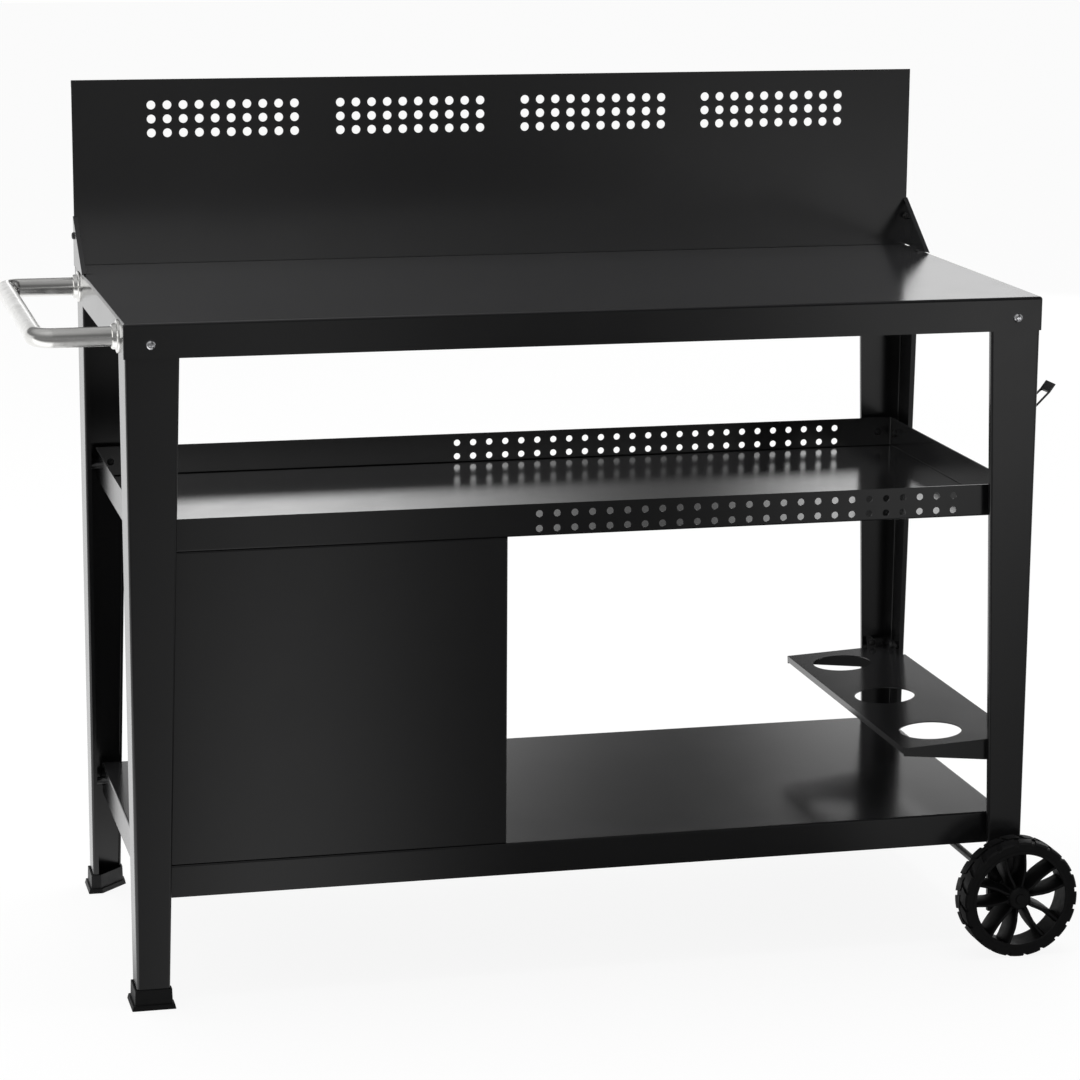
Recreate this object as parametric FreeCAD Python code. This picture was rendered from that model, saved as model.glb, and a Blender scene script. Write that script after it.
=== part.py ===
import FreeCAD, Part
import math
import os

os.makedirs("parts", exist_ok=True)

Vector = FreeCAD.Vector

# Directions as seen from the front of the cart
to_right = Vector(1, 0, 0)
to_left = Vector(-1, 0, 0)
to_back = Vector(0, 1, 0)
to_front = Vector(0, -1, 0)
up = Vector(0, 0, 1)
down = Vector(0, 0, -1)

# Overall sizes, in millimetres
top_width = 1200.0
top_depth = 535.0
top_height = 885.0
handle_reach = 114.0
wheel_radius = 80.0
axle_from_middle = 580.0

# Sheet thicknesses and the gap left between stacked sheets
sheet = 1.5
leg_sheet = 2.0
fit_gap = 0.3

# Where the worktop lies, so that the whole cart is centred on the origin
wheel_overhang = axle_from_middle + wheel_radius - top_width / 2
shift_x = (handle_reach - wheel_overhang) / 2
left_x = -top_width / 2 + shift_x
right_x = top_width / 2 + shift_x
front_y = -top_depth / 2
back_y = top_depth / 2
axle_x = shift_x + axle_from_middle
axle_z = wheel_radius

# Worktop
apron_height = 44.0
top_bend = 4.0
corner_bend = 3.0

# Legs
leg_inset = sheet + fit_gap
leg_wide = 69.0
leg_taper = 0.0306
leg_lip = 8.0
leg_bend = 4.0
lip_bend = 3.0
leg_top_gap = 3.0
leg_top_z = top_height - sheet - leg_top_gap
left_leg_bottom = 3.0
right_leg_bottom = 48.0

# Middle tray and bottom shelf
shelf_inset = 20.0
tray_top_z = 634.3
tray_depth = 42.3
tray_bend = 3.0
shelf_top_z = 183.0
shelf_depth = 42.5

# Screws that hold the tray and the shelf, as a drop from the top and a share of the leg's width
tray_screw_drop = 21.0
tray_screw_share = 0.64
shelf_screw_drop = 24.0
shelf_screw_share = 0.62

# Holes in the tray's front and back flanges
tray_hole_radius = 4.6
tray_hole_first = 531.0
tray_hole_pitch = 23.4
tray_hole_columns = 25
tray_hole_rows = (621.2, 601.8)

# Splash guard
guard_height = 252.0
guard_overlap = 40.0
guard_hem = 9.0
guard_groups = 4
guard_group_pitch = 262.0
guard_columns = 10
guard_pitch = 22.0
guard_rows = (217.0, 198.0, 179.0)
guard_hole_radius = 6.0
guard_hem_gap = 0.8
guard_middle_screw = 200.0
ear_depth = 26.0
ear_height = 54.0
ear_above_top = 4.0
ear_upright = 38.0
ear_top_cut = 4.0

# Gussets at the ends of the splash guard
gusset_long = 100.0
gusset_tall = 67.5
gusset_flange = 4.5
gusset_screw_back = 10.0
gusset_screw_up = 42.0
gusset_foot_wide = 14.0
gusset_foot_screw_back = 80.0
gusset_foot_screw_in = 9.5
gusset_slope_start = 3.0
gusset_slope_short = 5.0
gusset_foot_gap = 0.1

# Cover panel
panel_right = 490.0
panel_return = 26.0
panel_left_gap = 4.0
panel_set_back = 0.5
panel_screw_back = 15.0
panel_screw_left = 90.0
panel_screw_right = 60.0

# Bottle holder
holder_left = 1031.0
holder_right = 1193.0
holder_leg_edge = 1184.0
holder_leg_zone = 72.0
holder_high_z = 289.0
holder_tilt = 3.0
holder_clear = 13.0
holder_lip = 9.0
holder_flange_small = 11.0
holder_flange_large = 29.0
holder_tab = 13.0
holder_tab_long = 30.0
holder_hole_radius = 42.0
holder_hole_x = 1093.0
holder_hole_pitch = 187.0
holder_flange_right = 1149.0
holder_side_tab_in = 13.0
holder_screw_up = 7.5
holder_end_screw = 1162.0
holder_end_screw_drop = 1.6
holder_side_screw_in = 40.0

# Bottle opener
opener_width = 30.0
opener_sheet = 2.0
opener_foot_z = 695.0
opener_bend_z = 733.0
opener_arm = (22.0, 22.0)
opener_hood = (8.0, 11.0)
opener_window = 25.0
opener_window_low = 3.0
opener_from_front = 34.0
opener_screw_up = 14.0
opener_screw_half = 8.0

# Handle
tube_radius = 12.5
tube_wall = 1.5
handle_corner = 21.0
handle_from_edge = 48.0
handle_z = top_height - 22.0
rosette_radius = 21.0
rosette_plate = 3.0
rosette_collar_radius = 16.5
rosette_collar = 6.0
plug_length = 30.0
bolt_radius = 4.0
bolt_hole_radius = 4.3
bolt_washer_radius = 9.0
bolt_washer_thick = 1.5
bolt_head_across = 13.0
bolt_head_height = 5.3
bolt_end_gap = 8.0

# Feet of the left legs
foot_wall = 2.6
foot_rim_z = 25.5
foot_flange_z = 6.0
foot_flange_out = 7.0
foot_flange_slope = 1.4
foot_corner_cut = 9.5
foot_leg_clearance = 0.25

# Wheels and axle
axle_radius = 5.0
bore_clearance = 0.05
wheel_out = 54.0
tyre_width = 42.0
tyre_inner = 67.0
tyre_groove_depth = 3.0
tyre_blocks = 20
tyre_block_gap = 4.0
tyre_middle_groove = 3.0
rim_band = 3.0
rim_edge = 1.0
hub_radius = 17.0
spoke_pairs = 5
spoke_first_angle = 27.5
spoke_half_angle = 13.5
spoke_thick = 5.0
spoke_depth = 30.0
side_play = 0.4
cap_radius = 7.0
cap_clearance = 0.02
cap_seat_depth = 6.0
cap_proud = 3.0
axle_in_cap = 7.5
hub_set_back = 4.0
bush_length = 6.0
bush_radius = 9.0
spoke_set_back = 2.0

# Screws
apron_screw_drop = 27.0
apron_screw_in = 34.0
screw_radius = 2.5
hole_clearance = 0.3
thread_clearance = 0.1
front_screw_length = 12.0
back_screw_length = 13.5
middle_screw_length = 11.0
short_screw_length = 6.0
small_screw_length = 9.0
pan_head_radius = 5.0
pan_head_height = 3.2
dome_head_radius = 6.2
dome_head_height = 4.4
post_radius = 6.0
nut_across = 8.0
nut_height = 4.0


def box(x0, y0, z0, x1, y1, z1):
    return Part.makeBox(x1 - x0, y1 - y0, z1 - z0, Vector(x0, y0, z0))


def cylinder(radius, start, direction, length):
    return Part.makeCylinder(radius, length, start, direction)


def save(name, shape):
    shape.exportStep("parts/" + name + ".step")


def group(solids):
    return Part.makeCompound(solids)


def edges_on(shape, test):
    chosen = []
    for edge in shape.Edges:
        ends = [v.Point for v in edge.Vertexes]
        if len(ends) == 2 and test(ends[0], ends[1]):
            chosen.append(edge)
    return chosen


def rounded_block(x0, x1, y0, y1, z0, z1, round_z, upright_radius, face_radius):
    block = box(x0, y0, z0, x1, y1, z1)
    upright = edges_on(block, lambda a, b: abs(a.z - b.z) > 1.0)
    block = block.makeFillet(upright_radius, upright)
    rim = edges_on(block, lambda a, b: abs(a.z - round_z) < 0.01 and abs(b.z - round_z) < 0.01)
    return block.makeFillet(face_radius, rim)


def pan(x0, x1, y0, y1, plate_z, open_z, thickness, bend):
    z0 = min(plate_z, open_z)
    z1 = max(plate_z, open_z)
    outer = rounded_block(x0, x1, y0, y1, z0, z1, plate_z, corner_bend, bend - 0.5)
    step = thickness if plate_z < open_z else -thickness
    inner_plate = plate_z + step
    inner_open = open_z + step
    low = min(inner_plate, inner_open)
    high = max(inner_plate, inner_open)
    inner = rounded_block(x0 + thickness, x1 - thickness, y0 + thickness, y1 - thickness,
                          low, high, inner_plate, corner_bend - thickness, bend - thickness)
    return outer.cut(inner)


# A closed wire at height z, with each corner rounded by its own radius
def rounded_wire(points, radii, z):
    count = len(points)
    starts = []
    ends = []
    middles = []
    for i in range(count):
        here = Vector(points[i][0], points[i][1], z)
        before = Vector(points[i - 1][0], points[i - 1][1], z)
        after = Vector(points[(i + 1) % count][0], points[(i + 1) % count][1], z)
        to_before = (before - here).normalize()
        to_after = (after - here).normalize()
        radius = radii[i]
        half = to_before.getAngle(to_after) / 2
        reach = radius / math.tan(half)
        bisector = (to_before + to_after).normalize()
        centre = here + bisector * (radius / math.sin(half))
        starts.append(here + to_before * reach)
        ends.append(here + to_after * reach)
        middles.append(centre - bisector * radius)
    pieces = []
    for i in range(count):
        if radii[i] > 0:
            pieces.append(Part.Arc(starts[i], middles[i], ends[i]).toShape())
        pieces.append(Part.LineSegment(ends[i], starts[(i + 1) % count]).toShape())
    return Part.Wire(pieces)


def leg_width(z):
    return leg_wide - leg_taper * (leg_top_z - z)


# The corner of a leg: its outer corner point and the two ways its flanges run
def leg_corner(side, end):
    x = left_x + leg_inset if side == "left" else right_x - leg_inset
    y = front_y + leg_inset if end == "front" else back_y - leg_inset
    sx = 1 if side == "left" else -1
    sy = 1 if end == "front" else -1
    return x, y, sx, sy


def leg_section(corner, z):
    x, y, sx, sy = corner
    w = leg_width(z)
    t = leg_sheet
    lip = leg_lip
    local = [(0, 0), (w, 0), (w, lip), (w - t, lip), (w - t, t), (t, t),
             (t, w - t), (lip, w - t), (lip, w), (0, w)]
    inner = lip_bend - t
    radii = [leg_bend, lip_bend, 0, 0, inner, leg_bend - t, inner, 0, 0, lip_bend]
    points = [(x + sx * a, y + sy * b) for a, b in local]
    return rounded_wire(points, radii, z)


# Points on a leg's flanges where screws or posts sit, as distances from its corner
def post_places(corner, z, share):
    x, y, sx, sy = corner
    out = leg_width(z) * share
    on_end = Vector(x + sx * out, y + sy * leg_sheet, z), Vector(0, sy, 0)
    on_side = Vector(x + sx * leg_sheet, y + sy * out, z), Vector(sx, 0, 0)
    return on_end, on_side


def leg(side, end):
    corner = leg_corner(side, end)
    bottom = left_leg_bottom if side == "left" else right_leg_bottom
    shape = Part.makeLoft([leg_section(corner, bottom), leg_section(corner, leg_top_z)], True, True)
    sy = corner[3]
    outer_face = Vector(0, corner[1] - sy * 1.0, 0)
    hole = screw_radius + hole_clearance
    for x, z in apron_screw_spots():
        if (x < shift_x) == (side == "left"):
            start = Vector(x, outer_face.y, z)
            shape = shape.cut(cylinder(hole, start, Vector(0, sy, 0), leg_sheet + 2))
    if side == "left":
        for y in handle_arm_rows():
            if (y < 0) == (end == "front"):
                start = Vector(corner[0] - 1, y, handle_z)
                shape = shape.cut(cylinder(bolt_hole_radius, start, to_right, leg_sheet + 2))
    if side == "right":
        start = Vector(axle_x, outer_face.y, axle_z)
        shape = shape.cut(cylinder(axle_radius + 0.2, start, Vector(0, sy, 0), leg_sheet + 2))
    if side == "right" and end == "front":
        for y, z in opener_screw_spots():
            start = Vector(corner[0] + 1, y, z)
            shape = shape.cut(cylinder(hole, start, to_left, leg_sheet + 2))
    return shape


def apron_screw_spots():
    z = top_height - apron_screw_drop
    return [(left_x + apron_screw_in, z), (right_x - apron_screw_in, z)]


def handle_arm_rows():
    return [front_y + handle_from_edge, back_y - handle_from_edge]


def opener_screw_spots():
    middle = front_y + opener_from_front
    z = opener_foot_z + opener_screw_up
    return [(middle - opener_screw_half, z), (middle + opener_screw_half, z)]


def gusset_screw_spot():
    return back_y - gusset_screw_back, top_height + gusset_screw_up


def worktop():
    shape = pan(left_x, right_x, front_y, back_y, top_height, top_height - apron_height, sheet, top_bend)
    hole = screw_radius + hole_clearance
    for x, z in apron_screw_spots():
        shape = shape.cut(cylinder(hole, Vector(x, front_y - 1, z), to_back, sheet + 2))
        shape = shape.cut(cylinder(hole, Vector(x, back_y - sheet - 1, z), to_back, sheet + 2))
    for x, z in guard_middle_spots():
        shape = shape.cut(cylinder(hole, Vector(x, back_y - sheet - 1, z), to_back, sheet + 2))
    for y in handle_arm_rows():
        shape = shape.cut(cylinder(bolt_hole_radius, Vector(left_x - 1, y, handle_z), to_right, sheet + 2))
    for x, y in gusset_foot_spots():
        shape = shape.cut(cylinder(hole, Vector(x, y, top_height - sheet - 1), up, sheet + 2))
    return shape


def guard_middle_spots():
    z = top_height - apron_screw_drop
    return [(shift_x - guard_middle_screw, z), (shift_x + guard_middle_screw, z)]


def gusset_foot_spots():
    y = back_y - gusset_foot_screw_back
    return [(left_x + gusset_foot_screw_in, y), (right_x - gusset_foot_screw_in, y)]


def splash_guard():
    y0 = back_y
    y1 = back_y + sheet
    top = top_height + guard_height
    shape = box(left_x, y0, top_height - guard_overlap, right_x, y1, top)
    fold_back = y1 + guard_hem_gap + sheet
    hem = box(left_x, y1 + guard_hem_gap, top - guard_hem, right_x, fold_back, top)
    cap = box(left_x, y1 - 0.2, top - sheet, right_x, fold_back - 0.2, top)
    shape = shape.fuse([hem, cap])
    ear_z0 = top_height + ear_above_top
    ear_z1 = ear_z0 + ear_height
    for x0 in (left_x, right_x - sheet):
        ear = box(x0, y0 - ear_depth, ear_z0, x0 + sheet, y0 + 0.2, ear_z1)
        low = Vector(x0 - 1, y0 - ear_depth - 1, ear_z0 + ear_upright)
        high = Vector(x0 - 1, y0 - ear_top_cut, ear_z1 + 1)
        corner = Vector(x0 - 1, y0 - ear_depth - 1, ear_z1 + 1)
        wedge = Part.Face(Part.makePolygon([low, high, corner, low])).extrude(Vector(sheet + 2, 0, 0))
        shape = shape.fuse(ear.cut(wedge))
    shape = shape.removeSplitter()
    round_top = edges_on(shape, lambda a, b: abs(a.z - top) < 0.01 and abs(b.z - top) < 0.01
                         and abs(a.x - b.x) > 100)
    shape = shape.makeFillet(1.0, round_top)
    holes = []
    pattern = (guard_groups - 1) * guard_group_pitch + (guard_columns - 1) * guard_pitch
    first = shift_x - pattern / 2
    for g in range(guard_groups):
        for c in range(guard_columns):
            x = first + g * guard_group_pitch + c * guard_pitch
            for row in guard_rows:
                start = Vector(x, y0 - 1, top_height + row)
                holes.append(cylinder(guard_hole_radius, start, to_back, sheet + 2))
    hole = screw_radius + hole_clearance
    for x, z in apron_screw_spots() + guard_middle_spots():
        holes.append(cylinder(hole, Vector(x, y0 - 1, z), to_back, sheet + 2))
    y, z = gusset_screw_spot()
    holes.append(cylinder(hole, Vector(left_x - 1, y, z), to_right, sheet + 2))
    holes.append(cylinder(hole, Vector(right_x - sheet - 1, y, z), to_right, sheet + 2))
    return shape.cut(holes)


# A triangular side plate outside the guard's ear, with flanges turned inward
# along its slope and along the worktop
def gusset(side):
    sx = 1 if side == "left" else -1
    face_x = left_x if side == "left" else right_x
    z0 = top_height + gusset_foot_gap
    y1 = back_y
    low = Vector(0, y1 - gusset_long, z0)
    high = Vector(0, y1, z0 + gusset_tall)
    along = (high - low).normalize()
    toward_guard = Vector(0, along.z, -along.y)
    outline = [Vector(face_x, p.y, p.z) for p in [low, Vector(0, y1, z0), high, low]]
    plate = Part.Face(Part.makePolygon(outline)).extrude(Vector(-sx * sheet, 0, 0))
    width = gusset_flange + sheet
    start = low + along * gusset_slope_start
    length = (high - low).Length - gusset_slope_short
    a = start
    b = start + along * length
    c = b + toward_guard * sheet
    d = a + toward_guard * sheet
    strip = [Vector(face_x - sx * sheet, p.y, p.z) for p in (a, b, c, d, a)]
    slope_flange = Part.Face(Part.makePolygon(strip)).extrude(Vector(sx * width, 0, 0))
    foot_x = sorted((face_x - sx * sheet, face_x + sx * gusset_foot_wide))
    foot_flange = box(foot_x[0], y1 - gusset_long + 8, z0, foot_x[1], y1 - ear_depth - 6, z0 + sheet)
    shape = plate.fuse([slope_flange, foot_flange]).removeSplitter()
    hole = screw_radius + hole_clearance
    y, z = gusset_screw_spot()
    shape = shape.cut(cylinder(hole, Vector(face_x - 5, y, z), to_right, 10))
    for x, y in gusset_foot_spots():
        shape = shape.cut(cylinder(screw_radius + thread_clearance, Vector(x, y, z0 - 1), up, sheet + 2))
    return shape


def tray_holes():
    holes = []
    for c in range(tray_hole_columns):
        x = left_x + tray_hole_first + c * tray_hole_pitch
        for z in tray_hole_rows:
            for y in (front_y + shelf_inset - 1, back_y - shelf_inset - sheet - 1):
                holes.append(cylinder(tray_hole_radius, Vector(x, y, z), to_back, sheet + 2))
    return holes


# Where the screws go through the flanges of the tray or the shelf
def corner_screws(z, share, inset):
    spots = []
    for side in ("left", "right"):
        for end in ("front", "back"):
            corner = leg_corner(side, end)
            for place, inward in post_places(corner, z, share):
                face = place + inward * (inset - leg_inset - leg_sheet)
                spots.append((place, inward, face))
    return spots


def tray_spots():
    return corner_screws(tray_top_z - tray_screw_drop, tray_screw_share, shelf_inset)


def shelf_spots():
    return corner_screws(shelf_top_z - shelf_screw_drop, shelf_screw_share, shelf_inset)


def cut_screw_holes(shape, spots, radius):
    for place, inward, face in spots:
        shape = shape.cut(cylinder(radius, face - inward * 1.0, inward, sheet + 2))
    return shape


def middle_tray():
    x0 = left_x + shelf_inset
    x1 = right_x - shelf_inset
    y0 = front_y + shelf_inset
    y1 = back_y - shelf_inset
    shape = pan(x0, x1, y0, y1, tray_top_z - tray_depth, tray_top_z, sheet, tray_bend)
    shape = shape.cut(tray_holes())
    shape = cut_screw_holes(shape, tray_spots(), screw_radius + hole_clearance)
    for x, y in panel_screw_spots():
        start = Vector(x, y, tray_top_z - tray_depth - 1)
        shape = shape.cut(cylinder(screw_radius + hole_clearance, start, up, sheet + 2))
    return shape


def bottom_shelf():
    x0 = left_x + shelf_inset
    x1 = right_x - shelf_inset
    y0 = front_y + shelf_inset
    y1 = back_y - shelf_inset
    shape = pan(x0, x1, y0, y1, shelf_top_z, shelf_top_z - shelf_depth, sheet, tray_bend)
    shape = cut_screw_holes(shape, shelf_spots(), screw_radius + hole_clearance)
    for x, y in panel_screw_spots():
        start = Vector(x, y, shelf_top_z - sheet - 1)
        shape = shape.cut(cylinder(screw_radius + hole_clearance, start, up, sheet + 2))
    return shape


def panel_screw_spots():
    y = front_y + shelf_inset + panel_screw_back
    return [(left_x + panel_screw_left, y), (left_x + panel_right - panel_screw_right, y)]


# A flat front with returns on all four edges, open at the back
def cover_panel():
    x0 = left_x + shelf_inset + panel_left_gap
    x1 = left_x + panel_right
    y0 = front_y + shelf_inset + panel_set_back
    y1 = y0 + panel_return
    z0 = shelf_top_z
    z1 = tray_top_z - tray_depth
    block = box(x0, y0, z0, x1, y1, z1)
    front_rim = edges_on(block, lambda a, b: abs(a.y - y0) < 0.01 and abs(b.y - y0) < 0.01)
    block = block.makeFillet(2.5, front_rim)
    hollow = box(x0 + sheet, y0 + sheet, z0 + sheet, x1 - sheet, y1 + 1, z1 - sheet)
    inner_rim = edges_on(hollow, lambda a, b: abs(a.y - y0 - sheet) < 0.01 and abs(b.y - y0 - sheet) < 0.01)
    shape = block.cut(hollow.makeFillet(1.0, inner_rim))
    for x, y in panel_screw_spots():
        for z in (z0 - 1, z1 - sheet - 1):
            shape = shape.cut(cylinder(screw_radius + hole_clearance, Vector(x, y, z), up, sheet + 2))
    return shape


# The four places where the bottle holder is screwed to the right legs
def holder_spots():
    spots = []
    z = holder_high_z + holder_screw_up
    end_z = z - holder_end_screw_drop
    end_x = left_x + holder_end_screw
    for end in ("front", "back"):
        corner = leg_corner("right", end)
        x, y, sx, sy = corner
        place = Vector(end_x, y + sy * leg_sheet, end_z)
        face = Vector(end_x, y + sy * (holder_clear - leg_inset), end_z)
        spots.append((place, Vector(0, sy, 0), face))
        row = y + sy * holder_side_screw_in
        place = Vector(x + sx * leg_sheet, row, z)
        face = Vector(left_x + holder_leg_edge, row, z)
        spots.append((place, Vector(sx, 0, 0), face))
    return spots


def holder_flange(y0, low_left, low_right, zero):
    x0 = left_x + holder_left
    x1 = left_x + holder_flange_right
    corners = [Vector(x0, y0, zero), Vector(x1, y0, zero),
               Vector(x1, y0, zero - low_right), Vector(x0, y0, zero - low_left)]
    outline = Part.makePolygon(corners + [corners[0]])
    return Part.Face(outline).extrude(Vector(0, sheet, 0))


# A plate with three bottle holes, turned down at its open side and along its
# ends, turned up in tabs against the legs; the whole is then tilted a little
def bottle_holder():
    x0 = left_x + holder_left
    x1 = left_x + holder_right
    leg_x = left_x + holder_leg_edge
    y0 = front_y + holder_clear
    y1 = back_y - holder_clear
    zero = holder_high_z
    plate = box(x0, y0, zero - sheet, leg_x, y1, zero)
    wide = box(leg_x - 1, front_y + holder_leg_zone, zero - sheet, x1, back_y - holder_leg_zone, zero)
    lip = box(x0, y0, zero - holder_lip, x0 + sheet, y1, zero)
    parts = [wide, lip]
    parts.append(holder_flange(y0, holder_flange_small, holder_flange_large, zero))
    parts.append(holder_flange(y1 - sheet, holder_flange_small, holder_flange_large, zero))
    tab_top = zero + holder_tab
    for y in (y0, y1 - sheet):
        parts.append(box(leg_x - holder_tab_long, y, zero - sheet, leg_x - 3, y + sheet, tab_top))
    shape = plate.fuse(parts).removeSplitter()
    middle_y = (front_y + back_y) / 2
    for k in (-1, 0, 1):
        start = Vector(left_x + holder_hole_x, middle_y + k * holder_hole_pitch, zero - sheet - 1)
        shape = shape.cut(cylinder(holder_hole_radius, start, up, sheet + 2))
    shape.rotate(Vector(leg_x, 0, zero), to_back, -holder_tilt)
    side_tabs = []
    for y in (y0 + holder_side_tab_in, y1 - holder_side_tab_in - holder_tab_long):
        side_tabs.append(box(leg_x - sheet, y, zero - sheet, leg_x, y + holder_tab_long, tab_top))
    shape = shape.fuse(side_tabs).removeSplitter()
    for place, inward, face in holder_spots():
        shape = shape.cut(cylinder(screw_radius + hole_clearance, face - inward * 2.0, inward, sheet + 5))
    return shape


# A strip screwed to the leg, bent outward, with a window and a hood at its end
def bottle_opener():
    face = right_x - leg_inset
    t = opener_sheet
    y0 = front_y + opener_from_front - opener_width / 2
    arm_x, arm_z = opener_arm
    hood_x, hood_z = opener_hood
    z0 = opener_foot_z
    z1 = opener_bend_z
    bend_drop = t * math.tan(math.radians(22.5))
    arm_end = Vector(face + arm_x, y0, z1 + arm_z)
    tip = arm_end + Vector(hood_x, 0, hood_z)
    hood_side = Vector(hood_z, 0, -hood_x).normalize() * t
    outer_bend = arm_end + Vector(t, 0, -bend_drop)
    path = [Vector(face, y0, z0), Vector(face + t, y0, z0), Vector(face + t, y0, z1 - bend_drop), outer_bend,
            tip + hood_side, tip, arm_end, Vector(face, y0, z1)]
    profile = Part.Face(Part.makePolygon(path + [path[0]]))
    shape = profile.extrude(Vector(0, opener_width, 0))
    side = (opener_width - opener_window) / 2
    window = box(face + t + 1.5, y0 + side, z1 - opener_window_low,
                 face + arm_x + 1.0, y0 + opener_width - side, z1 + arm_z + 0.5)
    upright = edges_on(window, lambda a, b: abs(a.z - b.z) > 1.0)
    window = window.makeFillet(3.0, upright)
    shape = shape.cut(window)
    for y, z in opener_screw_spots():
        shape = shape.cut(cylinder(screw_radius + hole_clearance, Vector(face - 1, y, z), to_right, t + 2))
    return shape


def handle_path():
    out_x = left_x - handle_reach + tube_radius
    wall_x = left_x - rosette_plate
    y0, y1 = handle_arm_rows()
    r = handle_corner
    k = r * (1 - math.cos(math.pi / 4))
    a = Vector(wall_x, y0, handle_z)
    b = Vector(out_x + r, y0, handle_z)
    c = Vector(out_x, y0 + r, handle_z)
    d = Vector(out_x, y1 - r, handle_z)
    e = Vector(out_x + r, y1, handle_z)
    f = Vector(wall_x, y1, handle_z)
    first_arc = Part.Arc(b, Vector(out_x + k, y0 + k, handle_z), c).toShape()
    second_arc = Part.Arc(d, Vector(out_x + k, y1 - k, handle_z), e).toShape()
    straight = [Part.LineSegment(p, q).toShape() for p, q in ((a, b), (c, d), (e, f))]
    return Part.Wire([straight[0], first_arc, straight[1], second_arc, straight[2]])


def handle_tube():
    path = handle_path()
    start = Vector(left_x - rosette_plate, handle_arm_rows()[0], handle_z)
    outer = Part.Wire(Part.Circle(start, to_right, tube_radius).toShape())
    inner = Part.Wire(Part.Circle(start, to_right, tube_radius - tube_wall).toShape())
    solid = path.makePipeShell([outer], True, False)
    hollow = path.makePipeShell([inner], True, False)
    return solid.cut(hollow)


def handle_rosettes():
    solids = []
    for y in handle_arm_rows():
        start = Vector(left_x, y, handle_z)
        plate = cylinder(rosette_radius, start, to_left, rosette_plate)
        edge = edges_by_radius(plate, rosette_radius, left_x - rosette_plate)
        plate = plate.makeFillet(1.2, edge)
        socket = start + to_left * rosette_plate
        collar = cylinder(rosette_collar_radius, socket + to_right * 0.5, to_left, rosette_collar + 0.5)
        shape = plate.fuse(collar).removeSplitter()
        shape = shape.cut(cylinder(tube_radius + bore_clearance, socket, to_left, rosette_collar + 5))
        shape = shape.cut(cylinder(bolt_hole_radius, start + to_right, to_left, rosette_plate + 5))
        solids.append(shape)
    return group(solids)


def edges_by_radius(shape, radius, x):
    chosen = []
    for edge in shape.Edges:
        if edge.Curve.TypeId == "Part::GeomCircle":
            circle = edge.Curve
            if abs(circle.Radius - radius) < 0.01 and abs(circle.Center.x - x) < 0.01:
                chosen.append(edge)
    return chosen


def handle_plugs():
    solids = []
    for y in handle_arm_rows():
        start = Vector(left_x - rosette_plate, y, handle_z)
        plug = cylinder(tube_radius - tube_wall - bore_clearance, start, to_left, plug_length)
        bore_radius = bolt_radius + thread_clearance
        solids.append(plug.cut(cylinder(bore_radius, start + to_right, to_left, plug_length - 5)))
    return group(solids)


def hexagon_prism(centre, direction, across, length):
    far = across / math.sqrt(3)
    side = up if abs(direction.z) < 0.5 else to_right
    other = direction.cross(side)
    points = []
    for k in range(6):
        angle = math.radians(60 * k)
        points.append(centre + side * (far * math.cos(angle)) + other * (far * math.sin(angle)))
    return Part.Face(Part.makePolygon(points + [points[0]])).extrude(direction * length)


def handle_bolts():
    solids = []
    seat = left_x + leg_inset + leg_sheet
    for y in handle_arm_rows():
        washer = cylinder(bolt_washer_radius, Vector(seat, y, handle_z), to_right, bolt_washer_thick)
        head_seat = Vector(seat + bolt_washer_thick, y, handle_z)
        head = hexagon_prism(head_seat, to_right, bolt_head_across, bolt_head_height)
        tip = left_x - rosette_plate - plug_length + bolt_end_gap
        shank = cylinder(bolt_radius, Vector(tip, y, handle_z), to_right, seat + 2.0 - tip)
        solids.append(shank.fuse([washer, head]).removeSplitter())
    return group(solids)


# The foot's outline, spread outward from the leg by a given distance
def foot_section(corner, z, out):
    x, y, sx, sy = corner
    w = leg_width(left_leg_bottom + 10)
    cut = foot_corner_cut
    local = [(-out, -out), (w + out, -out), (w + out, cut + out * 0.4),
             (cut + out * 0.4, w + out), (-out, w + out)]
    points = [(x + sx * a, y + sy * b) for a, b in local]
    return rounded_wire(points, [1.5] * 5, z)


def foot(side, end):
    corner = leg_corner(side, end)

    def band(z0, out0, z1, out1):
        return Part.makeLoft([foot_section(corner, z0, out0), foot_section(corner, z1, out1)], True, True)

    sleeve = band(foot_flange_z - 1, foot_wall + 0.6, foot_rim_z, foot_wall)
    flange = band(0, foot_flange_out, foot_flange_z, foot_flange_out - foot_flange_slope)
    pocket = band(left_leg_bottom, foot_leg_clearance, foot_rim_z + 1, 0.8)
    return flange.fuse(sleeve).cut(pocket)


def wheel_faces(end):
    sy = -1 if end == "front" else 1
    edge_y = front_y if end == "front" else back_y
    outer = edge_y + sy * wheel_out
    return sy, edge_y, outer


def tyre(end):
    sy, edge_y, outer = wheel_faces(end)
    inward = Vector(0, -sy, 0)
    start = Vector(axle_x, outer, axle_z)
    base = cylinder(wheel_radius - tyre_groove_depth, start, inward, tyre_width)
    row_width = (tyre_width - tyre_middle_groove) / 2
    step = 360.0 / tyre_blocks
    gap = math.degrees(tyre_block_gap / wheel_radius)
    blocks = []
    for row in range(2):
        row_start = start + inward * (row * (row_width + tyre_middle_groove))
        ring = cylinder(wheel_radius, row_start, inward, row_width)
        hollow = cylinder(wheel_radius - tyre_groove_depth - 1, row_start - inward, inward, row_width + 2)
        ring = ring.cut(hollow)
        for k in range(tyre_blocks):
            middle = -90.0 + step * (k + 0.5 * row)
            blocks.append(ring.common(wedge_of_disc(row_start, inward, row_width, middle, (step - gap) / 2)))
    shape = base.fuse(blocks).removeSplitter()
    bore = cylinder(tyre_inner, start - inward, inward, tyre_width + 2)
    return shape.cut(bore)


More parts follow.
